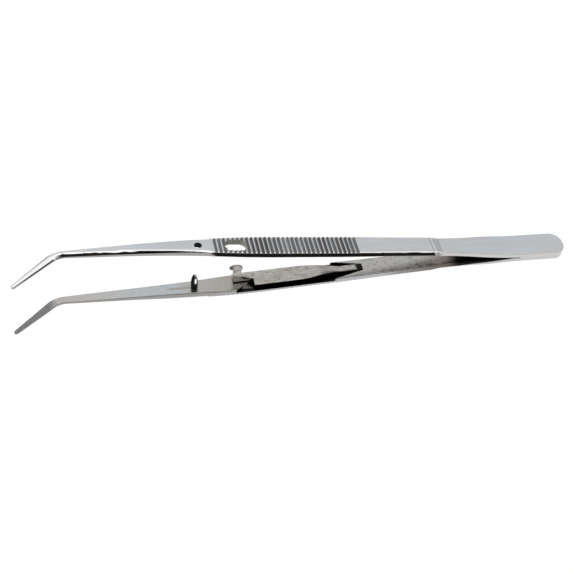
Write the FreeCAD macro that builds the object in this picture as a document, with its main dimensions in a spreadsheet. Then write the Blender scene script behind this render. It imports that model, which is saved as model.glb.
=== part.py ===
import FreeCAD, Part
import math
import os
import Sketcher
from FreeCAD import Placement, Rotation, Vector

# Self-locking cotton pliers: two sprung arms welded back to back at the heel, tips bent sideways.
# The lower arm carries a guide pin, which enters a hole in the upper arm, and a leaf spring with a hook,
# which snaps through a slot in the upper arm and holds the tips shut.
# Each piece is drawn in the frame of its own arm: X = 0 at the heel end, the tips towards -X, and Z = 0 on
# the plane between the arms, with the arm above it. The lower arm's frame is turned over about X.

SIZES = {
    # the arm seen from the side: places are measured from the heel end, opening is in degrees
    "weld_length": 13.8,
    "parting_radius": 60.0,
    "upper_opening": 4.6,
    "lower_opening": 4.4,
    "bow_from": 93.3,
    "upper_bow_radius": 562.0,
    "lower_bow_radius": 215.0,
    "upper_bow_to": 138.0,
    "lower_bow_to": 101.0,
    "heel_thickness": 1.36,
    "grip_thickness": 1.73,
    "step_from": 37.0,
    "step_to": 39.3,
    # the arm seen from above
    "heel_width": 7.7,
    "heel_corner": 3.3,
    "heel_taper_from": 17.0,
    "neck_width": 5.9,
    "grip_width": 6.4,
    "grip_widest_from": 65.0,
    "grip_widest_to": 85.0,
    # the shank's cross-sections: the side's height, and the flat left of the outer face
    "shoulder_at": 101.0,
    "shoulder_width": 5.3,
    "shoulder_step": 0.06,
    "shoulder_side": 1.35,
    "shoulder_flat": 4.5,
    "shank_at": 112.0,
    "shank_width": 4.0,
    "shank_thickness": 1.66,
    "shank_side": 1.1,
    "shank_flat": 3.5,
    "waist_at": 124.0,
    "waist_width": 3.2,
    "waist_thickness": 1.5,
    "waist_side": 0.8,
    "waist_flat": 2.0,
    "bend_at": 140.5,
    "bend_angle": 43.0,
    "bend_radius": 6.0,
    "bend_width": 2.24,
    "bend_thickness": 1.25,
    "bend_side": 0.5,
    "bend_flat": 0.6,
    "tip_length": 15.4,
    "tip_width": 1.15,
    "tip_thickness": 0.8,
    "tip_side": 0.35,
    "tip_flat": 0.35,
    "end_from": 14.9,
    "end_width": 0.7,
    "end_thickness": 0.55,
    "end_side": 0.25,
    "end_flat": 0.3,
    # the rounding of the long edges
    "edge_round": 0.3,
    "inner_round": 0.3,
    "weld_height": 0.8,
    # the grip ribs and the teeth of the tips
    "rib_first": 100.1,
    "rib_pitch": 1.245,
    "rib_count": 32,
    "rib_groove": 1.0,
    "rib_depth": 0.4,
    "tooth_first": 14.3,
    "tooth_pitch": 0.6,
    "tooth_count": 23,
    "tooth_groove": 0.42,
    "tooth_depth": 0.14,
    # the lock's slot and the guide pin with its hole
    "slot_at": 94.45,
    "slot_length": 6.0,
    "slot_width": 3.8,
    "guide_at": 104.5,
    "guide_hole": 2.1,
    "pin_clearance": 0.1,
    "pin_shank": 1.4,
    "pin_height": 4.7,
    "pin_straight": 1.6,
    "pin_ogive": 7.0,
    "pin_tip": 0.5,
    "pin_seat": 1.55,
    # the recess of the lock spring in the lower arm
    "recess_end": 58.2,
    "recess_end_width": 2.4,
    "recess_wide_at": 66.5,
    "recess_front_near": 94.1,
    "recess_front_far": 83.9,
    "recess_depth": 0.9,
    # the lock spring: places on the leaf are measured from the recess end towards the tips
    "root_gap": 0.1,
    "root_length": 6.5,
    "root_rise": 0.2,
    "root_width": 2.1,
    "leaf_full_at": 17.0,
    "leaf_width": 4.6,
    "leaf_thickness": 0.6,
    "leaf_lift": 0.45,
    "leaf_bend": 12.0,
    "hook_thickness": 1.0,
    "hook_stem": 2.2,
    "hook_rear_at": 33.7,
    "hook_near": 0.2,
    "hook_gap_at": 30.4,
    "hook_height": 5.9,
    "hook_back": 0.4,
    "hook_neck": 4.2,
    "nose_from": 4.9,
    "nose_at": 5.2,
    "nose_reach": 0.9,
    "gusset": 2.6,
    "gusset_radius": 3.0,
    "rivet_diameter": 1.2,
}

doc = FreeCAD.newDocument("cotton_pliers")
sheet = doc.addObject("Spreadsheet::Sheet", "sizes")
for row, (alias, size) in enumerate(SIZES.items(), start=1):
    sheet.set(f"A{row}", alias)
    sheet.set(f"B{row}", str(size))
    sheet.setAlias(f"B{row}", alias)
doc.recompute()


def value(expression):
    """The number that an expression of the sheet's sizes gives."""
    return float(sheet.evalExpression(expression))


class Side:
    """Points of one arm's side view, as pairs of expressions (x, z). The inner face runs level over the
    weld, turns out on the parting radius, runs straight at the opening angle, and bows back towards the
    tips. Where the bow ends it runs straight on to the bend, and the bent tip is level."""

    def __init__(self, arm):
        self.opening = f"sizes.{arm}_opening"
        self.sin, self.cos = f"sin({self.opening})", f"cos({self.opening})"
        self.part_x = f"(sizes.weld_length + sizes.parting_radius * {self.sin})"
        self.part_z = f"(sizes.parting_radius * (1 - {self.cos}))"
        self.radius = f"sizes.{arm}_bow_radius"
        self.bow_to = f"sizes.{arm}_bow_to"
        rise = f"({self.part_z} + (sizes.bow_from - {self.part_x}) * {self.sin} / {self.cos})"
        self.centre_x = f"(-sizes.bow_from - {self.radius} * {self.sin})"
        self.centre_z = f"({rise} - {self.radius} * {self.cos})"

    def parting_end(self, height):
        """The end of the parting curve, at a height above the inner face."""
        return (f"-{self.part_x} + ({height}) * {self.sin}", f"{self.part_z} + ({height}) * {self.cos}")

    def straight(self, place, height):
        """A point of the straight stretch, at a place from the heel end and a height above the inner face."""
        rise = f"(({place}) - {self.part_x}) * {self.sin} / {self.cos}"
        return (f"-({place}) + ({height}) * {self.sin}", f"{self.part_z} + {rise} + ({height}) * {self.cos}")

    def bow(self, place, height):
        """A point of the bowed stretch, straight above a place from the heel end."""
        across = f"(-({place}) - {self.centre_x})"
        return (f"-({place})", f"{self.centre_z} + sqrt(({self.radius} + ({height})) ^ 2 - {across} ^ 2)")

    def slope(self, place):
        """The slope of the inner face at a place in front of the straight stretch, in degrees."""
        last = self.bow_to if value(place) > value(self.bow_to) else place
        return f"asin((-({last}) - {self.centre_x}) / {self.radius})"

    def face(self, place):
        """A point of the inner face in front of the straight stretch."""
        if value(place) <= value(self.bow_to):
            return self.bow(place, "0")
        rise = f"(({place}) - {self.bow_to}) * tan({self.slope(place)})"
        return (f"-({place})", f"{self.bow(self.bow_to, '0')[1]} + {rise}")

    def height_of(self, point):
        """How far a point lies above the inner face, behind the end of the bow."""
        if -point.x < value(self.part_x):
            return point.z
        if -point.x < value("sizes.bow_from"):
            return (point.z - value(self.straight(-point.x, 0)[1])) * value(self.cos)
        return point.z - value(self.bow(-point.x, 0)[1])


UPPER, LOWER = Side("upper"), Side("lower")


def flank(from_x, from_y, to_x, to_y):
    """The radius of an arc between two outline points that is level at one of them."""
    return f"(({to_x} - {from_x}) ^ 2 + ({to_y} - {from_y}) ^ 2) / (2 * abs({to_y} - {from_y}))"


def arc_between(start, end, radius, bulge):
    """The shorter arc from start to end, bulging to the left of the way (1) or to the right (-1)."""
    chord = end - start
    half = chord.Length / 2
    side = Vector(-chord.y, chord.x, 0).normalize() * bulge
    middle = start + chord / 2 + side * (radius - math.sqrt(radius**2 - half**2))
    return Part.Arc(start, middle, end)


def trace(sketch, corners):
    """Draws a closed outline. A corner is (x, y), or (x, y, radius, bulge) where an arc leads to it. Every
    corner is held by its two distances, and every arc by its radius, all bound to the sheet."""
    points = [Vector(value(corner[0]), value(corner[1]), 0) for corner in corners]
    first = sketch.GeometryCount
    count = len(corners)
    for k, corner in enumerate(corners):
        start, end = points[k - 1], points[k]
        if len(corner) == 2:
            sketch.addGeometry(Part.LineSegment(start, end))
        else:
            sketch.addGeometry(arc_between(start, end, value(corner[2]), corner[3]))
    # an arc is stored anticlockwise, so one that bulges to the left has its ends swapped
    ends = [(2, 1) if len(corner) == 4 and corner[3] > 0 else (1, 2) for corner in corners]
    for k, corner in enumerate(corners):
        after = (k + 1) % count
        sketch.addConstraint(
            Sketcher.Constraint("Coincident", first + k, ends[k][1], first + after, ends[after][0])
        )
        for kind, number, size in (("DistanceX", points[k].x, corner[0]), ("DistanceY", points[k].y, corner[1])):
            index = sketch.addConstraint(Sketcher.Constraint(kind, first + k, ends[k][1], number))
            sketch.setExpression(f"Constraints[{index}]", size)
        if len(corner) == 4:
            index = sketch.addConstraint(Sketcher.Constraint("Radius", first + k, value(corner[2])))
            sketch.setExpression(f"Constraints[{index}]", corner[2])


def circle(sketch, diameter):
    """A circle round the sketch's origin."""
    sketch.addGeometry(Part.Circle(Vector(0, 0, 0), Vector(0, 0, 1), value(diameter) / 2))
    sketch.addConstraint(Sketcher.Constraint("Coincident", 0, 3, -1, 1))
    index = sketch.addConstraint(Sketcher.Constraint("Diameter", 0, value(diameter)))
    sketch.setExpression(f"Constraints[{index}]", diameter)


def new_sketch(body, name, role, at=("0", "0", "0"), turn=None):
    """A sketch on one of the body's origin planes, moved by expressions in that plane's own axes and turned
    about one of them by an expression in degrees."""
    sketch = body.newObject("Sketcher::SketchObject", name)
    plane = next(item for item in body.Origin.OriginFeatures if item.Role == role)
    sketch.AttachmentSupport = (plane, [""])
    sketch.MapMode = "FlatFace"
    axis, angle = turn or (Vector(0, 0, 1), "0")
    offset = Vector(*(value(part) for part in at))
    sketch.AttachmentOffset = Placement(offset, Rotation(axis, value(angle)))
    for letter, part in zip("xyz", at):
        sketch.setExpression(f".AttachmentOffset.Base.{letter}", part)
    sketch.setExpression(".AttachmentOffset.Rotation.Angle", angle)
    return sketch


def pad(body, name, sketch, length, both_ways=True):
    feature = body.newObject("PartDesign::Pad", name)
    feature.Profile = sketch
    feature.SideType = "Symmetric" if both_ways else "One side"
    feature.setExpression("Length", length)
    doc.recompute()
    return feature


def pocket(body, name, sketch, length, both_ways=True, reversed_way=False):
    """Cuts the sketch's region away, and stops if that took nothing off."""
    before = body.Shape.Volume
    feature = body.newObject("PartDesign::Pocket", name)
    feature.Profile = sketch
    feature.SideType = "Symmetric" if both_ways else "One side"
    feature.Reversed = reversed_way
    feature.setExpression("Length", length)
    doc.recompute()
    if body.Shape.Volume > before - 1e-6:
        raise RuntimeError(f"{name} cuts nothing")
    return feature


def round_edges(body, name, radius, wanted):
    """Rounds the edges of the body's shape so far that wanted picks."""
    base = body.Tip
    names = [f"Edge{k}" for k, edge in enumerate(base.Shape.Edges, start=1) if wanted(edge)]
    if not names:
        raise RuntimeError(f"{name} finds no edge")
    feature = body.newObject("PartDesign::Fillet", name)
    feature.Base = (base, names)
    feature.setExpression("Radius", radius)
    body.Tip = feature
    doc.recompute()
    if feature.Shape.isNull() or not feature.Shape.isValid():
        raise RuntimeError(f"{name} fails")
    return feature


def middle_of(edge):
    return edge.valueAt((edge.FirstParameter + edge.LastParameter) / 2)


def direction_of(edge):
    return edge.tangentAt((edge.FirstParameter + edge.LastParameter) / 2)


def loft(body, name, sections, ruled):
    feature = body.newObject("PartDesign::AdditiveLoft", name)
    feature.Profile = sections[0]
    feature.Sections = sections[1:]
    feature.Ruled = ruled
    doc.recompute()
    if feature.Shape.isNull() or not feature.Shape.isValid():
        raise RuntimeError(f"{name} fails")


def section(body, name, kind, at, turned, thickness, radius=None):
    """A cross-section of the shank: a flat inner face with small round corners, upright sides, and a
    bulging bevel on each side of the flat left on the outer face."""
    inset = "sizes.shoulder_step" if kind == "shoulder" else "0"
    side, outer = f"(sizes.{kind}_width / 2 - {inset})", f"sizes.{kind}_flat / 2"
    round_at = f"(sizes.inner_round * sizes.{kind}_width / sizes.shoulder_width)"
    upright = f"sizes.{kind}_side"
    bevel = radius or f"1.5 * sqrt(({side} - {outer}) ^ 2 + ({thickness} - {upright}) ^ 2)"
    sketch = new_sketch(body, name, "YZ_Plane", at, (Vector(0, 1, 0), turned))
    trace(sketch, [
        (f"{round_at} - {side}", "0", round_at, -1),
        (f"{side} - {round_at}", "0"),
        (side, round_at, round_at, -1),
        (side, upright),
        (outer, thickness, bevel, -1),
        (f"-{outer}", thickness),
        (f"-{side}", upright, bevel, -1),
        (f"-{side}", round_at),
    ])
    return sketch


# The shank is the front of an arm, from the first rib to the tip. Its bevels grow towards the bend, where
# the section is nearly half round. The straight stretch, the bend and the tip are lofted one after another.
def make_shank(name, arm, way):
    body = doc.addObject("PartDesign::Body", name)
    start = "(sizes.bend_at - sizes.bend_radius * tan(sizes.bend_angle / 2))"
    top = arm.face(start)[1]
    grip_top = arm.bow("sizes.shoulder_at", "sizes.grip_thickness")[1]
    stations = [
        ("shoulder", "sizes.shoulder_at", f"({grip_top} - ({arm.face('sizes.shoulder_at')[1]}) - sizes.shoulder_step)", None),
        ("shank", "sizes.shank_at", "sizes.shank_thickness", None),
        ("waist", "sizes.waist_at", "sizes.waist_thickness", None),
        ("bend", start, "sizes.bend_thickness", None),
    ]
    beam = [
        section(body, f"{name}_{kind}", kind, ("0", arm.face(place)[1], f"-{place}"), "0", thickness, radius)
        for kind, place, thickness, radius in stations
    ]
    loft(body, name + "_beam", beam, False)
    bend = beam[-1:]
    for third in (1, 2, 3):
        turned = f"sizes.bend_angle * {third} / 3"
        across = f"{way} * sizes.bend_radius * (1 - cos({turned}))"
        at = (across, top, f"-{start} - sizes.bend_radius * sin({turned})")
        bend.append(
            section(body, f"{name}_bend_{third}", "bend", at, f"{-way} * {turned}", "sizes.bend_thickness")
        )
    loft(body, name + "_bent", bend, False)
    tip = bend[-1:]
    for kind, reach in (("tip", "sizes.end_from"), ("end", "sizes.tip_length")):
        at = (f"{way} * {reach} * sin(sizes.bend_angle)", top, f"-sizes.bend_at - {reach} * cos(sizes.bend_angle)")
        turned = f"{-way} * sizes.bend_angle"
        tip.append(section(body, f"{name}_{kind}", kind, at, turned, f"sizes.{kind}_thickness"))
    loft(body, name + "_point", tip, True)
    return body


def repeat(body, cut, sketch, pitch, count, backwards):
    """A row of one cut along the sketch's own X axis."""
    before = body.Shape.Volume
    pattern = body.newObject("PartDesign::LinearPattern", cut.Name + "_row")
    pattern.Originals = [cut]
    pattern.Direction = (sketch, ["H_Axis"])
    pattern.Reversed = backwards
    pattern.Mode = "Spacing"
    pattern.setExpression("Offset", pitch)
    pattern.setExpression("Occurrences", count)
    body.Tip = pattern
    doc.recompute()
    if body.Shape.Volume > before - 1e-6:
        raise RuntimeError(f"{pattern.Name} cuts nothing")


def cut_ribs(body, name, arm, first, count):
    """V grooves across the grip's outer face, from the one at first towards the heel."""
    outer = arm.straight(first, "sizes.grip_thickness")
    groove = new_sketch(body, name, "XZ_Plane", (*outer, "0"), (Vector(0, 0, 1), f"-{arm.opening}"))
    half = "sizes.rib_groove / 2"
    trace(groove, [
        (f"-{half} * 2", "sizes.rib_depth"),
        ("0", "-sizes.rib_depth"),
        (f"{half} * 2", "sizes.rib_depth"),
    ])
    cut = pocket(body, name + "_cut", groove, "2 * sizes.heel_width")
    if count:
        repeat(body, cut, groove, "sizes.rib_pitch", count, False)


def cut_teeth(body, name, arm, way):
    """Fine V grooves across the inner face of the bent tip, square to it."""
    start = "(sizes.tip_length - sizes.tooth_first)"
    at = (f"-sizes.bend_at - {start} * cos(sizes.bend_angle)", f"{way} * {start} * sin(sizes.bend_angle)", "0")
    # the sketch stands on its end, along the tip: it hangs from a datum line turned with the tip
    plane = body.newObject("PartDesign::Plane", name + "_plane")
    base = next(item for item in body.Origin.OriginFeatures if item.Role == "XY_Plane")
    plane.AttachmentSupport = (base, [""])
    plane.MapMode = "FlatFace"
    turn = Rotation(Vector(0, 0, 1), -way * SIZES["bend_angle"]) * Rotation(Vector(1, 0, 0), 90)
    plane.AttachmentOffset = Placement(Vector(*(value(part) for part in at)), turn)
    plane.setExpression(".AttachmentOffset.Base.x", at[0])
    plane.setExpression(".AttachmentOffset.Base.y", at[1])
    plane.setExpression(".AttachmentOffset.Base.z", arm.face("sizes.bend_at - sizes.bend_radius * tan(sizes.bend_angle / 2)")[1])
    doc.recompute()
    groove = body.newObject("Sketcher::SketchObject", name)
    groove.AttachmentSupport = (plane, [""])
    groove.MapMode = "FlatFace"
    half = "sizes.tooth_groove / 2"
    trace(groove, [
        (f"-{half} * 2", "-sizes.tooth_depth"),
        (f"{half} * 2", "-sizes.tooth_depth"),
        ("0", "sizes.tooth_depth"),
    ])
    cut = pocket(body, name + "_cut", groove, "4 * sizes.bend_width")
    repeat(body, cut, groove, "sizes.tooth_pitch", "sizes.tooth_count", True)


# The grip is the arm behind the shank: the heel, the taper of the neck, and the thicker finger grip.
def make_grip(name, arm):
    body = doc.addObject("PartDesign::Body", name)
    side = new_sketch(body, name + "_side", "XZ_Plane")
    trace(side, [
        ("0", "0"),
        ("0", "sizes.heel_thickness"),
        ("-sizes.weld_length", "sizes.heel_thickness"),
        arm.parting_end("sizes.heel_thickness") + ("sizes.parting_radius - sizes.heel_thickness", 1),
        arm.straight("sizes.step_from", "sizes.heel_thickness"),
        arm.straight("sizes.step_to", "sizes.grip_thickness"),
        arm.straight("sizes.bow_from", "sizes.grip_thickness"),
        arm.bow("sizes.shoulder_at", "sizes.grip_thickness") + (f"{arm.radius} + sizes.grip_thickness", -1),
        arm.bow("sizes.shoulder_at", "0"),
        arm.straight("sizes.bow_from", "0") + (arm.radius, 1),
        arm.parting_end("0"),
        ("-sizes.weld_length", "0", "sizes.parting_radius", -1),
    ])
    pad(body, name + "_bar", side, "2 * sizes.heel_width")

    margin = "sizes.heel_width"
    taper_mid = ("(sizes.heel_taper_from + sizes.step_from) / 2", "(sizes.heel_width + sizes.neck_width) / 4")
    rest = ("sizes.heel_taper_from", "sizes.heel_width / 2")
    neck = ("sizes.step_from", "sizes.neck_width / 2")
    widest = ("sizes.grip_widest_from", "sizes.grip_width / 2")
    narrowing = ("sizes.grip_widest_to", "sizes.grip_width / 2")
    shoulder = ("sizes.shoulder_at", "sizes.shoulder_width / 2")
    outline = new_sketch(body, name + "_outline", "XY_Plane")
    for sign in (1, -1):
        def corner(point, before=None, bulge=0):
            place = (f"-{point[0]}", f"{sign} * {point[1]}")
            return place if before is None else place + (flank(*before, *point), sign * bulge)
        trace(outline, [
            corner(shoulder),
            corner(narrowing, shoulder, 1),
            corner(widest),
            corner(neck, widest, -1),
            corner(taper_mid, neck, -1),
            corner(rest, taper_mid, 1),
            ("-sizes.heel_corner", f"{sign} * sizes.heel_width / 2"),
            ("0", f"{sign} * (sizes.heel_width / 2 - sizes.heel_corner)", "sizes.heel_corner", sign),
            (margin, f"{sign} * (sizes.heel_width / 2 - sizes.heel_corner)"),
            (margin, f"{sign} * {margin} * 2"),
            ("-sizes.shoulder_at", f"{sign} * {margin} * 2"),
        ])
    pocket(body, name + "_blanking", outline, "4 * sizes.shoulder_at")

    def outer_edge(edge):
        point = middle_of(edge)
        flat = abs(direction_of(edge).z) < 0.5 and -point.x < SIZES["shoulder_at"] - 0.01
        along = abs(point.y) > SIZES["heel_width"] / 2 - SIZES["heel_corner"] + 0.01 or -point.x < 0.01
        return flat and along and arm.height_of(point) > SIZES["heel_thickness"] - 0.2

    def inner_edge(edge):
        point = middle_of(edge)
        along = max(abs(direction_of(edge).z), abs(direction_of(edge).y)) < 0.95
        return along and -point.x > value(arm.part_x) and arm.height_of(point) < 0.1

    round_edges(body, name + "_outer_edges", "sizes.edge_round", outer_edge)
    round_edges(body, name + "_inner_edges", "sizes.inner_round", inner_edge)

    # the welded heels lie flush, so the rounding of the inner edges is filled up again over the weld
    weld = new_sketch(body, name + "_weld", "XY_Plane")
    half, end = "sizes.heel_width / 2", "(sizes.heel_width / 2 - sizes.heel_corner)"
    trace(weld, [
        ("-sizes.weld_length", half),
        ("-sizes.weld_length", f"-{half}"),
        ("-sizes.heel_corner", f"-{half}"),
        ("0", f"-{end}", "sizes.heel_corner", -1),
        ("0", end),
        ("-sizes.heel_corner", half, "sizes.heel_corner", -1),
    ])
    pad(body, name + "_weld_fill", weld, "sizes.weld_height", both_ways=False)
    return body


# An arm is one piece of steel. way is -1 where the tip bends towards -Y of the arm's own frame, and 1 where
# it bends towards +Y.
def make_arm(name, arm, way):
    blank = doc.addObject("Part::Fuse", name + "_blank")
    blank.Base = make_grip(name + "_grip", arm)
    blank.Tool = make_shank(name + "_shank", arm, way)
    doc.recompute()
    body = doc.addObject("PartDesign::Body", name)
    body.BaseFeature = blank
    doc.recompute()
    cut_ribs(body, name + "_ribs", arm, "sizes.rib_first", "sizes.rib_count")
    cut_teeth(body, name + "_teeth", arm, way)
    return body


def face_sketch(body, name, at, angle):
    """A sketch on the arm's inner face, its X axis along the arm towards the heel."""
    return new_sketch(body, name, "XY_Plane", (at[0], "0", at[1]), (Vector(0, 1, 0), angle))


def side_sketch(body, name, at, angle, away="0"):
    """A sketch square to the arm's inner face, its X axis along the arm and its Y axis into the arm."""
    return new_sketch(body, name, "XZ_Plane", (at[0], at[1], away), (Vector(0, 0, 1), f"-{angle}"))


RIVET_AT = f"sizes.rib_first - (sizes.rib_count - 1) * sizes.rib_pitch * {LOWER.cos}"
RIVET = LOWER.straight(RIVET_AT, "0")
RECESS = LOWER.straight("sizes.recess_end", "0")


def drill(body, name, at, angle, diameter):
    """A hole through the arm, square to its inner face."""
    sketch = face_sketch(body, name, at, angle)
    circle(sketch, diameter)
    pocket(body, name + "_cut", sketch, "4 * sizes.grip_thickness")


# The upper arm has the slot that the hook snaps through, among the ribs, and the hole for the guide pin.
upper_arm = make_arm("upper_arm", UPPER, -1)
slot = face_sketch(upper_arm, "slot", UPPER.face("sizes.slot_at"), UPPER.slope("sizes.slot_at"))
end, side = "sizes.slot_length / 2", "sizes.slot_width / 2"
trace(slot, [
    (f"{end} - {side}", side),
    (end, "0", side, 1),
    (f"{end} - {side}", f"-{side}", side, 1),
    (f"{side} - {end}", f"-{side}"),
    (f"-{end}", "0", side, 1),
    (f"{side} - {end}", side, side, 1),
])
pocket(upper_arm, "slot_cut", slot, "4 * sizes.grip_thickness")
drill(upper_arm, "guide_hole", UPPER.face("sizes.guide_at"), UPPER.slope("sizes.guide_at"), "sizes.guide_hole")

# The lower arm is relieved under the lock spring. The relief is open at both sides, ends in a narrowing
# nose towards the heel, and has a slanted wall towards the tips.
lower_arm = make_arm("lower_arm", LOWER, 1)
recess = face_sketch(lower_arm, "recess", RECESS, LOWER.opening)
wide = "(sizes.recess_end - sizes.recess_wide_at)"
beyond = "sizes.heel_width"
trace(recess, [
    ("0", "-sizes.recess_end_width / 2"),
    ("0", "sizes.recess_end_width / 2"),
    (wide, "sizes.grip_width / 2"),
    (wide, beyond),
    ("sizes.recess_end - sizes.recess_front_near", beyond),
    ("sizes.recess_end - sizes.recess_front_near", "sizes.grip_width / 2"),
    ("sizes.recess_end - sizes.recess_front_far", "-sizes.grip_width / 2"),
    ("sizes.recess_end - sizes.recess_front_far", f"-{beyond}"),
    (wide, f"-{beyond}"),
    (wide, "-sizes.grip_width / 2"),
])
pocket(lower_arm, "recess_cut", recess, "2 * sizes.recess_depth")
pin_place = LOWER.face("sizes.guide_at"), LOWER.slope("sizes.guide_at")
drill(lower_arm, "pin_hole", *pin_place, "sizes.pin_shank")
drill(lower_arm, "rivet_hole", RIVET, LOWER.opening, "sizes.rivet_diameter")

# The guide pin is pressed through the lower arm and tapers to a blunt point that finds the upper arm's hole.
guide_pin = doc.addObject("PartDesign::Body", "guide_pin")
profile = side_sketch(guide_pin, "pin_profile", *pin_place)
base = "(sizes.guide_hole / 2 - sizes.pin_clearance)"
trace(profile, [
    ("0", "sizes.pin_seat"),
    ("sizes.pin_shank / 2", "sizes.pin_seat"),
    ("sizes.pin_shank / 2", "0"),
    (base, "0"),
    (base, "-sizes.pin_straight"),
    ("sizes.pin_tip / 2", "-sizes.pin_height", "sizes.pin_ogive", 1),
    ("0", "-sizes.pin_height"),
])
turned = guide_pin.newObject("PartDesign::Revolution", "pin_turned")
turned.Profile = profile
turned.ReferenceAxis = (profile, ["V_Axis"])
doc.recompute()

# The rivet holds the lock spring's root down. The rib that crosses its outer end is cut through it too.
lock_rivet = doc.addObject("PartDesign::Body", "lock_rivet")
disc = face_sketch(lock_rivet, "rivet_disc", RIVET, LOWER.opening)
circle(disc, "sizes.rivet_diameter")
rivet = lock_rivet.newObject("PartDesign::Pad", "rivet_pad")
rivet.Profile = disc
rivet.SideType = "Two sides"
rivet.setExpression("Length", "sizes.grip_thickness")
rivet.setExpression("Length2", "sizes.root_rise")
doc.recompute()
cut_ribs(lock_rivet, "rivet_rib", LOWER, RIVET_AT, None)

# The lock spring is one strip: its root sits in the relief, the leaf rises out of it, and the near half of
# its front is folded up into a hook.
lock_spring = doc.addObject("PartDesign::Body", "lock_spring")
side_view = side_sketch(lock_spring, "spring_side", RECESS, LOWER.opening)
front = "-(sizes.hook_rear_at + sizes.hook_stem)"
leaf_top = "-(sizes.leaf_lift + sizes.leaf_thickness)"
trace(side_view, [
    ("-sizes.root_gap", "-sizes.root_rise"),
    ("-sizes.root_gap", "sizes.recess_depth"),
    ("-sizes.root_length", "sizes.recess_depth"),
    ("-sizes.leaf_bend", "-sizes.leaf_lift"),
    (front, "-sizes.leaf_lift"),
    (front, leaf_top),
    ("-sizes.leaf_bend", leaf_top),
    ("-sizes.root_length", "-sizes.root_rise"),
])
pad(lock_spring, "spring_strip", side_view, "2 * sizes.leaf_width")
plan = face_sketch(lock_spring, "spring_plan", RECESS, LOWER.opening)
gone = f"{front} * 2"
trace(plan, [
    ("0", "sizes.root_width / 2"),
    ("-sizes.root_length", "sizes.root_width / 2"),
    ("-sizes.leaf_full_at", "sizes.leaf_width / 2"),
    ("-sizes.hook_gap_at", "sizes.leaf_width / 2"),
    ("-sizes.hook_gap_at", "sizes.hook_near"),
    (front, "sizes.hook_near"),
    (front, "-sizes.leaf_width / 2"),
    ("-sizes.leaf_full_at", "-sizes.leaf_width / 2"),
    ("-sizes.root_length", "-sizes.root_width / 2"),
    ("0", "-sizes.root_width / 2"),
    ("0", "-2 * sizes.leaf_width"),
    (gone, "-2 * sizes.leaf_width"),
    (gone, "2 * sizes.leaf_width"),
    ("0", "2 * sizes.leaf_width"),
])
pocket(lock_spring, "spring_blanking", plan, "8 * sizes.leaf_width")
drill(lock_spring, "root_hole", RIVET, LOWER.opening, "sizes.rivet_diameter")
hook = side_sketch(lock_spring, "hook_side", RECESS, LOWER.opening, "-sizes.hook_near")
stem = "-sizes.hook_rear_at"
head = "(sizes.nose_reach + sizes.hook_stem + sizes.hook_back) / 2"
dome = "(sizes.hook_height - sizes.nose_at)"
trace(hook, [
    (front, "-sizes.leaf_lift"),
    (front, "-sizes.nose_from"),
    (f"{front} - sizes.nose_reach", "-sizes.nose_at"),
    (f"{stem} + sizes.hook_back", "-sizes.nose_at", f"(({head}) ^ 2 + {dome} ^ 2) / (2 * {dome})", -1),
    (stem, "-sizes.hook_neck"),
    (stem, f"{leaf_top} - sizes.gusset"),
    (f"{stem} + sizes.gusset", leaf_top, "sizes.gusset_radius", 1),
    (f"{stem} + sizes.gusset", "-sizes.leaf_lift"),
])
pad(lock_spring, "hook_plate", hook, "sizes.hook_thickness", both_ways=False)

# Laid down: the closed tool rests on the heel's lower edge and on the hump of the lower grip, tips towards
# -X, and the box of the whole tool stands on Z = 0 and is centred on X = 0 and Y = 0.
centre_x, centre_z, heel = value(LOWER.centre_x), value(LOWER.centre_z), SIZES["heel_thickness"]
hump = SIZES["lower_bow_radius"] + SIZES["grip_thickness"]
tilt = math.asin(hump / math.hypot(centre_x, centre_z - heel)) - math.atan2(heel - centre_z, -centre_x)
lay = Rotation(Vector(0, 1, 0), math.degrees(tilt))
turned_over = lay * Rotation(Vector(1, 0, 0), 180)
pieces = [upper_arm, lower_arm, guide_pin, lock_spring, lock_rivet]
for piece in pieces:
    piece.Placement = Placement(Vector(0, 0, 0), lay if piece is upper_arm else turned_over)
doc.recompute()
box = FreeCAD.BoundBox()
for piece in pieces:
    box.add(piece.Shape.optimalBoundingBox(False))
shift = Vector(-box.Center.x, -box.Center.y, -box.ZMin)
for piece in pieces:
    piece.Placement = Placement(shift, piece.Placement.Rotation)
doc.recompute()

for item in doc.Objects:
    if "Invalid" in item.State or "Error" in item.State:
        raise RuntimeError(f"{item.Name} failed: {item.getStatusString()}")
os.makedirs("parts", exist_ok=True)
for piece in pieces:
    if piece.Shape.isNull() or not piece.Shape.isValid() or len(piece.Shape.Solids) != 1:
        raise RuntimeError(f"{piece.Name} is not one valid solid")
    piece.Shape.exportStep(f"parts/{piece.Name}.step")
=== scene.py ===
import math

import bpy
from mathutils import Matrix, Vector

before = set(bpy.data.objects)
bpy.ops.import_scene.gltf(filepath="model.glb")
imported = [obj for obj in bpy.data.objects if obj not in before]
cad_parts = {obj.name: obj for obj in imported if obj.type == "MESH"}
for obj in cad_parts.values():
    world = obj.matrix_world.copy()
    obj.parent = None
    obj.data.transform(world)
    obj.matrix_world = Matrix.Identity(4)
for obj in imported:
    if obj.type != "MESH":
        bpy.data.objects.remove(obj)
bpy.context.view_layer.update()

# The pliers lie on a pale table and are seen from the front and above, tips to the left.
# The camera stands about 0.3 m away and is rolled a little, so the heel runs up to the right.
camera_data = bpy.data.cameras.new("camera")
camera_data.sensor_width = 36
camera_data.lens = 73.607
camera = bpy.data.objects.new("camera", camera_data)
bpy.context.scene.collection.objects.link(camera)
right = Vector((0.977784, -0.204567, 0.045728))
up = Vector((0.115834, 0.709129, 0.695498))
stand = Vector((-0.059192, -0.212658, 0.227431))
turn = Matrix((right, up, right.cross(up))).transposed().to_4x4()
camera.matrix_world = Matrix.Translation(stand) @ turn
bpy.context.scene.camera = camera
bpy.context.scene.view_settings.view_transform = "Standard"

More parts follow.
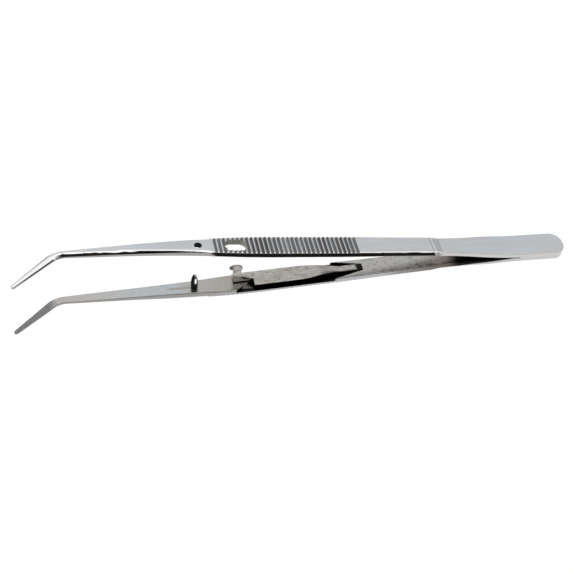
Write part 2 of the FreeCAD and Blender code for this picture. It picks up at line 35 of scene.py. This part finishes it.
# The upper arm is one forged bar of stainless steel, welded to the lower arm at the heel. Its outer face is
# brushed to a cool satin between polished edges, and ribs are cut across its grip, round a slot for the hook.
# Places are in the arm's own axes: X from the heel end, negative towards the tips, in millimetres.
LAY_ANGLE = math.radians(3.877)
HEEL_END = Vector((76.067, 3.454, 1.357))
MILLIMETRES = 1000
ARM_LENGTH = 151.0
BEND_ANGLE = math.radians(43)
HEEL_STARTS = (-38.0, -36.5)
STEP_TO_GRIP = (-40.0, -37.0)
HIGHLIGHT_LINE_SPAN = (-124.0, -102.5)
ROUND_SIDE = (-139.0, -111.0)
UPPER_TIP = (-143.0, -139.5)
TIP_MIDDLE = (95.8, 96.1)
RIBS = (-100.8, -60.9)
GUIDE_HOLE = (-105.7, -103.3)
HOOK_SLOT = (-97.6, -91.3)
HALF_OPENING = 2.1
SATIN_DARK, SATIN_LIGHT = (0.53, 0.555, 0.58), (0.59, 0.61, 0.635)
POLISHED_EDGE, HEEL_EDGE = (0.92, 0.91, 0.9), (0.62, 0.61, 0.6)
GRIP_SIDE_DARK_REFLECTION, HEEL_SIDE = (0.36, 0.34, 0.32), (0.58, 0.575, 0.56)
HEEL_EDGE_SHADE = (0.2, 0.2, 0.2)
TIP_HIGHLIGHT, TIP_EDGE_SHADE = (0.8, 0.79, 0.78), (0.3, 0.3, 0.31)
GROOVE_SHADE_BLACK, GROOVE_SHADE_GREY, GROOVE_HIGHLIGHT = (0.006, 0.006, 0.007), (0.17, 0.175, 0.18), (0.95, 0.97, 1.0)
HOLE_WALL_SHADE, SLOT_WALL = (0.008, 0.008, 0.008), (0.46, 0.45, 0.4)
SLOT_ROUGHNESS, GROOVE_ROUGHNESS = 0.75, 0.4
PAINTED_BLACK = (0.01, 0.01, 0.01)


def new_material(name):
    """A material with its nodes, its links and its shader."""
    material = bpy.data.materials.new(name)
    material.use_nodes = True
    nodes = material.node_tree.nodes
    shader = nodes["Principled BSDF"]
    return material, nodes, material.node_tree.links, shader


def arm_axes(nodes, links):
    """Object coordinates turned into the arm's axes: X from the heel end, Z up from the middle, in mm."""
    coordinates = nodes.new("ShaderNodeTexCoord")
    mapping = nodes.new("ShaderNodeMapping")
    mapping.inputs["Scale"].default_value = (MILLIMETRES,) * 3
    mapping.inputs["Rotation"].default_value = (0, -LAY_ANGLE, 0)
    mapping.inputs["Location"].default_value = -(Matrix.Rotation(-LAY_ANGLE, 3, "Y") @ HEEL_END)
    links.new(coordinates.outputs["Object"], mapping.inputs["Vector"])
    return mapping.outputs["Vector"]


def parts_of(nodes, links, vector):
    """The X, Y and Z of a vector."""
    split = nodes.new("ShaderNodeSeparateXYZ")
    links.new(vector, split.inputs["Vector"])
    return split.outputs


def stretched_noise(nodes, links, vector, scale, size, detail=3.0, roughness=0.6):
    """Noise whose grains are drawn out along each axis that has a scale below 1."""
    stretch = nodes.new("ShaderNodeMapping")
    stretch.inputs["Scale"].default_value = scale
    links.new(vector, stretch.inputs["Vector"])
    noise = nodes.new("ShaderNodeTexNoise")
    noise.inputs["Scale"].default_value = size
    noise.inputs["Detail"].default_value = detail
    noise.inputs["Roughness"].default_value = roughness
    links.new(stretch.outputs["Vector"], noise.inputs["Vector"])
    return noise.outputs["Fac"]


def ramp(nodes, links, factor, stops):
    """Colours along a factor, each stop a position and a colour or a grey."""
    node = nodes.new("ShaderNodeValToRGB")
    elements = node.color_ramp.elements
    while len(elements) < len(stops):
        elements.new(0.5)
    for element, (position, colour) in zip(elements, stops):
        element.position = position
        element.color = (*colour, 1) if isinstance(colour, tuple) else (colour, colour, colour, 1)
    links.new(factor, node.inputs["Fac"])
    return node.outputs["Color"]


def span(nodes, links, factor, low, high, at_low=0.0, at_high=1.0):
    """A smooth change from at_low to at_high while the factor goes from low to high."""
    node = nodes.new("ShaderNodeMapRange")
    node.interpolation_type = "SMOOTHSTEP"
    for socket, number in (("From Min", low), ("From Max", high), ("To Min", at_low), ("To Max", at_high)):
        node.inputs[socket].default_value = number
    links.new(factor, node.inputs["Value"])
    return node.outputs["Result"]


def fall(nodes, links, factor, low, high):
    """A smooth change from 1 to 0 while the factor goes from low to high."""
    return span(nodes, links, factor, low, high, at_low=1.0, at_high=0.0)


def calculate(nodes, links, operation, first, second):
    """Two numbers put together, each a number or a socket."""
    node = nodes.new("ShaderNodeMath")
    node.operation = operation
    for socket, source in zip(node.inputs, (first, second)):
        if isinstance(source, (int, float)):
            socket.default_value = source
        else:
            links.new(source, socket)
    return node.outputs[0]


def blend(nodes, links, factor, first, second, mode="MIX"):
    """Two colours mixed by a factor, each a colour or a socket."""
    node = nodes.new("ShaderNodeMix")
    node.data_type = "RGBA"
    node.blend_type = mode
    for socket, source in ((node.inputs[0], factor), (node.inputs[6], first), (node.inputs[7], second)):
        if isinstance(source, tuple):
            socket.default_value = (*source, 1)
        elif isinstance(source, (int, float)):
            socket.default_value = source
        else:
            links.new(source, socket)
    return node.outputs[2]


def facing(nodes, links):
    """The direction that the surface faces, in the object's axes."""
    return parts_of(nodes, links, nodes.new("ShaderNodeTexCoord").outputs["Normal"])


def product(nodes, links, *factors):
    """All the factors multiplied."""
    result = factors[0]
    for factor in factors[1:]:
        result = calculate(nodes, links, "MULTIPLY", result, factor)
    return result


def along_direction(nodes, links, vector, direction):
    """How far a place lies along a direction."""
    node = nodes.new("ShaderNodeVectorMath")
    node.operation = "DOT_PRODUCT"
    node.inputs[1].default_value = direction
    links.new(vector, node.inputs[0])
    return node.outputs["Value"]


def between(nodes, links, factor, low, high, fade):
    """1 from low to high, and 0 beyond them by more than fade."""
    rise = span(nodes, links, factor, low - fade, low)
    return product(nodes, links, rise, fall(nodes, links, factor, high, high + fade))


def brush(nodes, links, shader, axes, smooth, satin, satin_mask, depth):
    """Lengthwise brushing: it breaks up the gloss, and lies deeper on the satin faces."""
    grain = stretched_noise(nodes, links, axes, (0.04, 1.0, 1.0), 7.0)
    gloss = blend(nodes, links, satin_mask, (smooth, smooth, smooth), (satin, satin, satin))
    change = span(nodes, links, grain, 0.3, 0.7, 0.8, 1.25)
    links.new(calculate(nodes, links, "MULTIPLY", gloss, change), shader.inputs["Roughness"])
    bump = nodes.new("ShaderNodeBump")
    bump.inputs["Strength"].default_value = depth
    bump.inputs["Distance"].default_value = 0.00003
    links.new(grain, bump.inputs["Height"])
    links.new(bump.outputs["Normal"], shader.inputs["Normal"])
    shader.inputs["Metallic"].default_value = 1.0


def dress(node, material):
    """The piece takes the material."""
    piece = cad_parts[node]
    piece.data.materials.clear()
    piece.data.materials.append(material)


outer_steel, nodes, links, shader = new_material("arm_outer_steel")
axes = arm_axes(nodes, links)
place = parts_of(nodes, links, axes)
normal = facing(nodes, links)
up_mask = span(nodes, links, normal["Z"], 0.86, 0.96)
brush(nodes, links, shader, axes, smooth=0.05, satin=0.22, satin_mask=up_mask, depth=0.08)
clouds = stretched_noise(nodes, links, axes, scale=(0.15, 1.0, 1.0), size=0.5)
satin = ramp(nodes, links, clouds, [(0.3, SATIN_DARK), (0.7, SATIN_LIGHT)])
at_heel = span(nodes, links, place["X"], *HEEL_STARTS)
edges = blend(nodes, links, at_heel, POLISHED_EDGE, HEEL_EDGE)
# the sides are painted darker at the grip as a dark reflection, and lighter at the heel
upright = fall(nodes, links, normal["Z"], 0.1, 0.4)
sides = blend(nodes, links, at_heel, GRIP_SIDE_DARK_REFLECTION, HEEL_SIDE)
colour = blend(nodes, links, up_mask, blend(nodes, links, upright, edges, sides), satin)
# a thin line of painted shade parts the heel's flat from its side
heel_edge_shade = product(nodes, links, at_heel, between(nodes, links, normal["Z"], 0.86, 0.95, 0.03))
colour = blend(nodes, links, product(nodes, links, heel_edge_shade, 0.6), colour, HEEL_EDGE_SHADE)
# the shank's flat ends in a painted highlight, a bright line at its near edge
beside_edge = along_direction(nodes, links, axes, (0.055, 1.0, 0.0))
near_edge = fall(nodes, links, beside_edge, -7.55, -7.35)
edge_highlight = product(nodes, links, near_edge, between(nodes, links, place["X"], *HIGHLIGHT_LINE_SPAN, 2.0), up_mask)
colour = blend(nodes, links, edge_highlight, colour, (1.0, 1.0, 1.0))
# the shank's round side is painted black, a painted dark reflection
limit = span(nodes, links, place["X"], -132.0, -124.0, at_low=0.78, at_high=0.69)
below = fall(nodes, links, calculate(nodes, links, "SUBTRACT", normal["Z"], limit), 0.0, 0.06)
dark_reflection_belly = product(
    nodes, links, below, between(nodes, links, place["X"], *ROUND_SIDE, 3.0),
    span(nodes, links, normal["Z"], 0.22, 0.3),
)
colour = blend(nodes, links, dark_reflection_belly, colour, PAINTED_BLACK)
# the tip is painted light as a highlight, with painted grey shade along its far edge
across_tip = along_direction(nodes, links, axes, (-math.sin(BEND_ANGLE), math.cos(BEND_ANGLE), 0.0))
far_edge = span(nodes, links, across_tip, *TIP_MIDDLE)
tip_highlight_and_shade = blend(nodes, links, far_edge, TIP_HIGHLIGHT, TIP_EDGE_SHADE)
upper_tip = fall(nodes, links, place["X"], *UPPER_TIP)
upper_tip = product(nodes, links, upper_tip, span(nodes, links, normal["Z"], 0.5, 0.7))
colour = blend(nodes, links, upper_tip, colour, tip_highlight_and_shade)
# the grooves between the ribs are painted with shade on one flank, black varied with grey, and with a
# highlight on the other
in_ribs = between(nodes, links, place["X"], *RIBS, 0.1)
lengthwise = between(nodes, links, normal["Y"], -0.22, 0.22, 0.1)
flank = product(nodes, links, fall(nodes, links, normal["Z"], 0.85, 0.93), lengthwise)
lit_flank = span(nodes, links, normal["X"], -0.12, 0.2)
shade_variation = stretched_noise(nodes, links, axes, scale=(1.0, 0.03, 0.03), size=0.12, detail=1.0)
shade_variation = span(nodes, links, shade_variation, 0.4, 0.6)
shade = blend(nodes, links, shade_variation, GROOVE_SHADE_BLACK, GROOVE_SHADE_GREY)
groove = blend(nodes, links, lit_flank, shade, GROOVE_HIGHLIGHT)
patches = stretched_noise(nodes, links, axes, scale=(1.0, 0.05, 0.05), size=0.25)
patches = span(nodes, links, patches, 0.35, 0.65, at_low=0.5, at_high=1.0)
groove = blend(nodes, links, 1.0, groove, patches, "MULTIPLY")
grooves = product(nodes, links, in_ribs, flank)
colour = blend(nodes, links, grooves, colour, groove)
# the walls of the guide hole are painted black as shade, and those of the slot are dull
wall = fall(nodes, links, normal["Z"], 0.3, 0.6)
in_middle = between(nodes, links, place["Y"], -HALF_OPENING, HALF_OPENING, 0.05)
in_hole = product(nodes, links, between(nodes, links, place["X"], *GUIDE_HOLE, 0.1), in_middle, wall)
colour = blend(nodes, links, in_hole, colour, HOLE_WALL_SHADE)
in_slot = product(nodes, links, between(nodes, links, place["X"], *HOOK_SLOT, 0.1), in_middle, wall)
colour = blend(nodes, links, in_slot, colour, SLOT_WALL)
brushed = shader.inputs["Roughness"].links[0].from_socket
slot_dull = product(nodes, links, in_slot, SLOT_ROUGHNESS)
groove_dull = product(nodes, links, grooves, GROOVE_ROUGHNESS)
dull = calculate(nodes, links, "MAXIMUM", slot_dull, groove_dull)
links.new(calculate(nodes, links, "MAXIMUM", brushed, dull), shader.inputs["Roughness"])
# the step up to the grip is painted as a bright highlight line beside thin lines of painted shade
step = span(nodes, links, place["X"], *STEP_TO_GRIP)
step.node.interpolation_type = "LINEAR"
step_highlight_and_shade = ramp(nodes, links, step, [
    (0.1, 1.0), (0.18, 0.5), (0.27, 1.3), (0.36, 1.15), (0.43, 0.95), (0.6, 0.8), (0.78, 1.0),
])
colour = blend(nodes, links, 1.0, colour, step_highlight_and_shade, "MULTIPLY")
links.new(colour, shader.inputs["Base Color"])
dress("upper_arm", outer_steel)

# The lower arm is the same forged bar turned over, with a relief for the lock spring and holes for the pin
# and the rivet. Its inner face shows: cool at the shank, warm and pitted towards the heel, browned, and then
# painted black as shade where the arms close on each other.
LOWER_TIP = (-143.0, -140.8)
NEAR_SIDE_DARKENS = (-52.0, -30.0)
SMEAR = (-111.0, -106.0)
BLACK_WEDGE = (-31.0, -14.0)
SPRING_RELIEF = (-94.3, -58.1)
LEAF_NOSE = (-90.5, -88.5)
OPENS_FROM, FACE_THERE, OPENING_SLOPE = 18.4, 0.177, 0.07695
WEDGE_FROM, WEDGE_SLOPE = 14.0, 0.058
STAIN, SMEAR_BROWN = (0.26, 0.24, 0.21), (0.25, 0.2, 0.15)
NEAR_SIDE_BROWN, PIT_BROWN = (0.07, 0.055, 0.045), (0.08, 0.06, 0.05)
CORNER_SHADE, TOOTH_GREY = (0.1, 0.1, 0.1), (0.21, 0.21, 0.21)
SHADOW = (0.012, 0.012, 0.012)
inner_steel, nodes, links, shader = new_material("arm_inner_steel")
axes = arm_axes(nodes, links)
place = parts_of(nodes, links, axes)
normal = facing(nodes, links)
up_mask = span(nodes, links, normal["Z"], 0.8, 0.95)
brush(nodes, links, shader, axes, smooth=0.1, satin=0.25, satin_mask=up_mask, depth=0.12)
along = span(nodes, links, place["X"], -ARM_LENGTH, 0.0)
along.node.interpolation_type = "LINEAR"
# the tones end in painted shadow where the arms close on each other
tones = ramp(nodes, links, along, [
    (0.08, (0.45, 0.43, 0.41)), (0.17, (0.47, 0.46, 0.45)), (0.2, (0.44, 0.47, 0.49)),
    (0.27, (0.44, 0.47, 0.49)), (0.31, (0.42, 0.41, 0.39)), (0.38, (0.36, 0.34, 0.32)),
    (0.62, (0.43, 0.42, 0.4)), (0.72, (0.42, 0.42, 0.415)), (0.755, (0.37, 0.34, 0.31)),
    (0.785, (0.27, 0.22, 0.19)), (0.8, SHADOW),
])
mottle = stretched_noise(nodes, links, axes, scale=(0.5, 1.0, 1.0), size=1.1, detail=5.0, roughness=0.7)
heel_side = span(nodes, links, place["X"], -75.0, -45.0, at_low=0.25)
stain = product(nodes, links, span(nodes, links, mottle, 0.49, 0.7), heel_side)
tones = blend(nodes, links, stain, tones, STAIN)
# darker brown in specks along the near side of the inner face, towards the heel
near_side = fall(nodes, links, place["Y"], -3.3, -1.5)
near_side_dark = product(nodes, links, between(nodes, links, place["X"], *NEAR_SIDE_DARKENS, 6.0), near_side)
near_side_dark = product(nodes, links, near_side_dark, span(nodes, links, mottle, 0.38, 0.6))
tones = blend(nodes, links, near_side_dark, tones, NEAR_SIDE_BROWN)
smear_width = between(nodes, links, place["Y"], -0.3, 0.1, 0.3)
smear = product(nodes, links, between(nodes, links, place["X"], *SMEAR, 1.5), smear_width)
tones = blend(nodes, links, product(nodes, links, smear, 0.55), tones, SMEAR_BROWN)
pits = stretched_noise(nodes, links, axes, scale=(0.7, 1.0, 1.0), size=2.2, detail=2.0)
pits = product(nodes, links, span(nodes, links, pits, 0.63, 0.7), heel_side)
tones = blend(nodes, links, pits, tones, PIT_BROWN)
sides = ramp(nodes, links, along, [
    (0.3, (0.32, 0.31, 0.3)), (0.4, (0.42, 0.42, 0.42)), (0.65, (0.46, 0.46, 0.47)),
    (0.68, (0.3, 0.28, 0.26)), (0.79, (0.1, 0.08, 0.07)), (0.82, (0.5, 0.5, 0.49)),
    (0.93, (0.56, 0.56, 0.55)),
])
# the rounded corners to the sides are painted half dark, as shade
corner_shade = between(nodes, links, normal["Z"], 0.3, 0.75, 0.1)
sides = blend(nodes, links, product(nodes, links, corner_shade, 0.5), sides, CORNER_SHADE)
colour = blend(nodes, links, up_mask, sides, tones)
# towards the heel the near side is painted black below the inner face, in a wedge: painted shade where the
# arms close
face_level = calculate(nodes, links, "MULTIPLY_ADD", place["X"], -OPENING_SLOPE)
face_level.node.inputs[2].default_value = FACE_THERE - OPENS_FROM * OPENING_SLOPE
below_middle = calculate(nodes, links, "MULTIPLY", place["Z"], -1.0)
depth = calculate(nodes, links, "SUBTRACT", below_middle, face_level)
wedge_depth = calculate(nodes, links, "MULTIPLY_ADD", place["X"], -WEDGE_SLOPE)
wedge_depth.node.inputs[2].default_value = -WEDGE_SLOPE * WEDGE_FROM
wedge = fall(nodes, links, calculate(nodes, links, "SUBTRACT", depth, wedge_depth), -0.1, 0.05)
wedge = product(nodes, links, wedge, between(nodes, links, place["X"], *BLACK_WEDGE, 4.0))
colour = blend(nodes, links, wedge, colour, PAINTED_BLACK)
# the toothed tip is dull and dark
lower_tip = fall(nodes, links, place["X"], *LOWER_TIP)
colour = blend(nodes, links, lower_tip, colour, TOOTH_GREY)
# the relief is painted in shadow under the spring, and its floor is left light in front of the leaf
inside = span(nodes, links, place["Y"], -2.7, -2.5)
floor_up = span(nodes, links, normal["Z"], 0.4, 0.6)
relief_mouth = fall(nodes, links, place["Y"], -2.2, -1.4)
behind_nose = calculate(nodes, links, "MAXIMUM", span(nodes, links, place["X"], *LEAF_NOSE), relief_mouth)
in_relief = between(nodes, links, place["X"], *SPRING_RELIEF, 0.1)
relief = product(
    nodes, links, span(nodes, links, depth, 0.08, 0.14), in_relief,
    calculate(nodes, links, "MAXIMUM", inside, floor_up), behind_nose,
)
colour = blend(nodes, links, relief, colour, SHADOW)
links.new(colour, shader.inputs["Base Color"])
dress("lower_arm", inner_steel)

# The guide pin is a short turned pin of stainless steel with a bullet point, pressed into the lower arm.
# It is polished, and its colour is a painted reflection: black for the dark slit between the arms, with a
# painted highlight streak up its right.
HIGHLIGHT_RISES = (-4.9, -4.1)
PIN_REFLECTION_BLACK, PIN_HIGHLIGHT = (0.012, 0.012, 0.013), (1.0, 0.97, 0.95)
pin_reflection_steel, nodes, links, shader = new_material("pin_steel")
axes = arm_axes(nodes, links)
brush(nodes, links, shader, axes, smooth=0.15, satin=0.15, satin_mask=0.0, depth=0.02)
height = span(nodes, links, parts_of(nodes, links, axes)["Z"], *HIGHLIGHT_RISES)
highlight_streak = product(nodes, links, between(nodes, links, facing(nodes, links)["X"], 0.05, 0.55, 0.15), height)
colour = blend(nodes, links, highlight_streak, PIN_REFLECTION_BLACK, PIN_HIGHLIGHT)
links.new(colour, shader.inputs["Base Color"])
dress("guide_pin", pin_reflection_steel)

# The lock spring is a rolled strip of spring steel with its near half folded up into the hook, and a rivet
# holds it in the lower arm. It is warmer and duller than the arms, with fine scratches and a few stains.
HOOK_END = (-94.9, -93.5)
LEAF_TAIL = (-71.0, -66.0)
LEAF_END = (-60.6, -59.6)
HOOK_SHADE = (0.09, 0.09, 0.08)
spring_steel, nodes, links, shader = new_material("spring_steel")
axes = arm_axes(nodes, links)
up_mask = span(nodes, links, facing(nodes, links)["Z"], 0.8, 0.95)
brush(nodes, links, shader, axes, smooth=0.16, satin=0.28, satin_mask=up_mask, depth=0.15)
mottle = stretched_noise(nodes, links, axes, scale=(0.35, 1.0, 1.0), size=1.4, detail=5.0, roughness=0.7)
colour = ramp(nodes, links, mottle, [
    (0.33, (0.17, 0.16, 0.15)), (0.47, (0.38, 0.36, 0.34)), (0.7, (0.5, 0.48, 0.46)),
])
place = parts_of(nodes, links, axes)
# the top of the hook's end is painted in shade
hook_top = span(nodes, links, place["Z"], -3.0, -2.4)
hook_end = span(nodes, links, place["X"], *HOOK_END, at_low=0.85, at_high=0.0)
hook_end = product(nodes, links, hook_end, hook_top)
colour = blend(nodes, links, hook_end, colour, HOOK_SHADE)
# the leaf is painted in shadow at its rear end and along its near side there, where it dives into the relief
tail_side = fall(nodes, links, place["Y"], -1.2, -0.4)
tail_side = product(nodes, links, span(nodes, links, place["X"], *LEAF_TAIL), tail_side)
tail = calculate(nodes, links, "MAXIMUM", tail_side, span(nodes, links, place["X"], *LEAF_END))
colour = blend(nodes, links, tail, colour, SHADOW)
links.new(colour, shader.inputs["Base Color"])
dress("lock_spring", spring_steel)
dress("lock_rivet", spring_steel)

# The table is a sheet of matt white paper that the pliers lie on. The camera and the steel see it white,
# and it keeps a faint shadow of the pliers.
FLOOR_HALF = 3.0
floor_mesh = bpy.data.meshes.new("floor")
floor_corners = [(x * FLOOR_HALF, y * FLOOR_HALF, 0) for x, y in ((-1, -1), (1, -1), (1, 1), (-1, 1))]
floor_mesh.from_pydata(floor_corners, [], [(0, 1, 2, 3)])
floor = bpy.data.objects.new("floor", floor_mesh)
bpy.context.scene.collection.objects.link(floor)
floor_paper, nodes, links, shader = new_material("floor_paper")
shader.inputs["Base Color"].default_value = (0.9, 0.9, 0.9, 1)
shader.inputs["Roughness"].default_value = 0.9
glow = nodes.new("ShaderNodeEmission")
glow.inputs["Strength"].default_value = 1.05
paper_mix = nodes.new("ShaderNodeMixShader")
path = nodes.new("ShaderNodeLightPath")
seen = calculate(nodes, links, "MAXIMUM", path.outputs["Is Camera Ray"], path.outputs["Is Glossy Ray"])
links.new(calculate(nodes, links, "MULTIPLY", seen, 0.92), paper_mix.inputs["Fac"])
links.new(shader.outputs["BSDF"], paper_mix.inputs[1])
links.new(glow.outputs["Emission"], paper_mix.inputs[2])
links.new(paper_mix.outputs["Shader"], nodes["Material Output"].inputs["Surface"])
floor_mesh.materials.append(floor_paper)

# A matt black card lies on the table in front of the pliers and under the grip. The camera doesn't see it:
# it shows only in the polished steel, as the dark of the grip's near side.
CARD_HEIGHT = 0.0002
card_mesh = bpy.data.meshes.new("dark_card")
outline = ((-0.6, -0.6), (0.04, -0.6), (0.04, -0.004), (-0.014, -0.004), (-0.03, -0.023), (-0.6, -0.023))
card_mesh.from_pydata([(x, y, CARD_HEIGHT) for x, y in outline], [], [range(len(outline))])
card = bpy.data.objects.new("dark_card", card_mesh)
bpy.context.scene.collection.objects.link(card)
card_black, nodes, links, shader = new_material("card_black")
shader.inputs["Base Color"].default_value = (0.01, 0.01, 0.01, 1)
shader.inputs["Roughness"].default_value = 1.0
card_mesh.materials.append(card_black)
card.visible_camera = False
card.visible_diffuse = False
card.visible_shadow = False

# The light is a studio tent: white over the front and the top, grey at the back, and dark low down at the
# front. One soft box over the back gives the table its faint shadow.
lamp = bpy.data.lights.new("back_box", "AREA")
lamp.shape = "SQUARE"
lamp.size = 0.9
lamp.energy = 1.0
box = bpy.data.objects.new("back_box", lamp)
box.location = (0.2, 0.5, 1.2)
box.rotation_euler = (Vector((0, 0, 0)) - Vector(box.location)).to_track_quat("-Z", "Y").to_euler()
bpy.context.scene.collection.objects.link(box)

world = bpy.data.worlds.new("tent")
bpy.context.scene.world = world
world.use_nodes = True
nodes, links = world.node_tree.nodes, world.node_tree.links
direction = parts_of(nodes, links, nodes.new("ShaderNodeTexCoord").outputs["Generated"])
front_white = span(nodes, links, direction["Z"], 0.3, 0.42, 0.01, 1.2)
back_grey = span(nodes, links, direction["Z"], 0.0, 0.6, 0.6, 0.86)
to_the_back = span(nodes, links, direction["Y"], -0.1, 0.3)
tent = blend(nodes, links, to_the_back, front_white, back_grey)
sky = nodes["Background"]
links.new(tent, sky.inputs["Color"])
plain = nodes.new("ShaderNodeBackground")
plain.inputs["Color"].default_value = (1, 1, 1, 1)
path = nodes.new("ShaderNodeLightPath")
both = nodes.new("ShaderNodeMixShader")
links.new(path.outputs["Is Camera Ray"], both.inputs["Fac"])
links.new(sky.outputs["Background"], both.inputs[1])
links.new(plain.outputs["Background"], both.inputs[2])
links.new(both.outputs["Shader"], nodes["World Output"].inputs["Surface"])
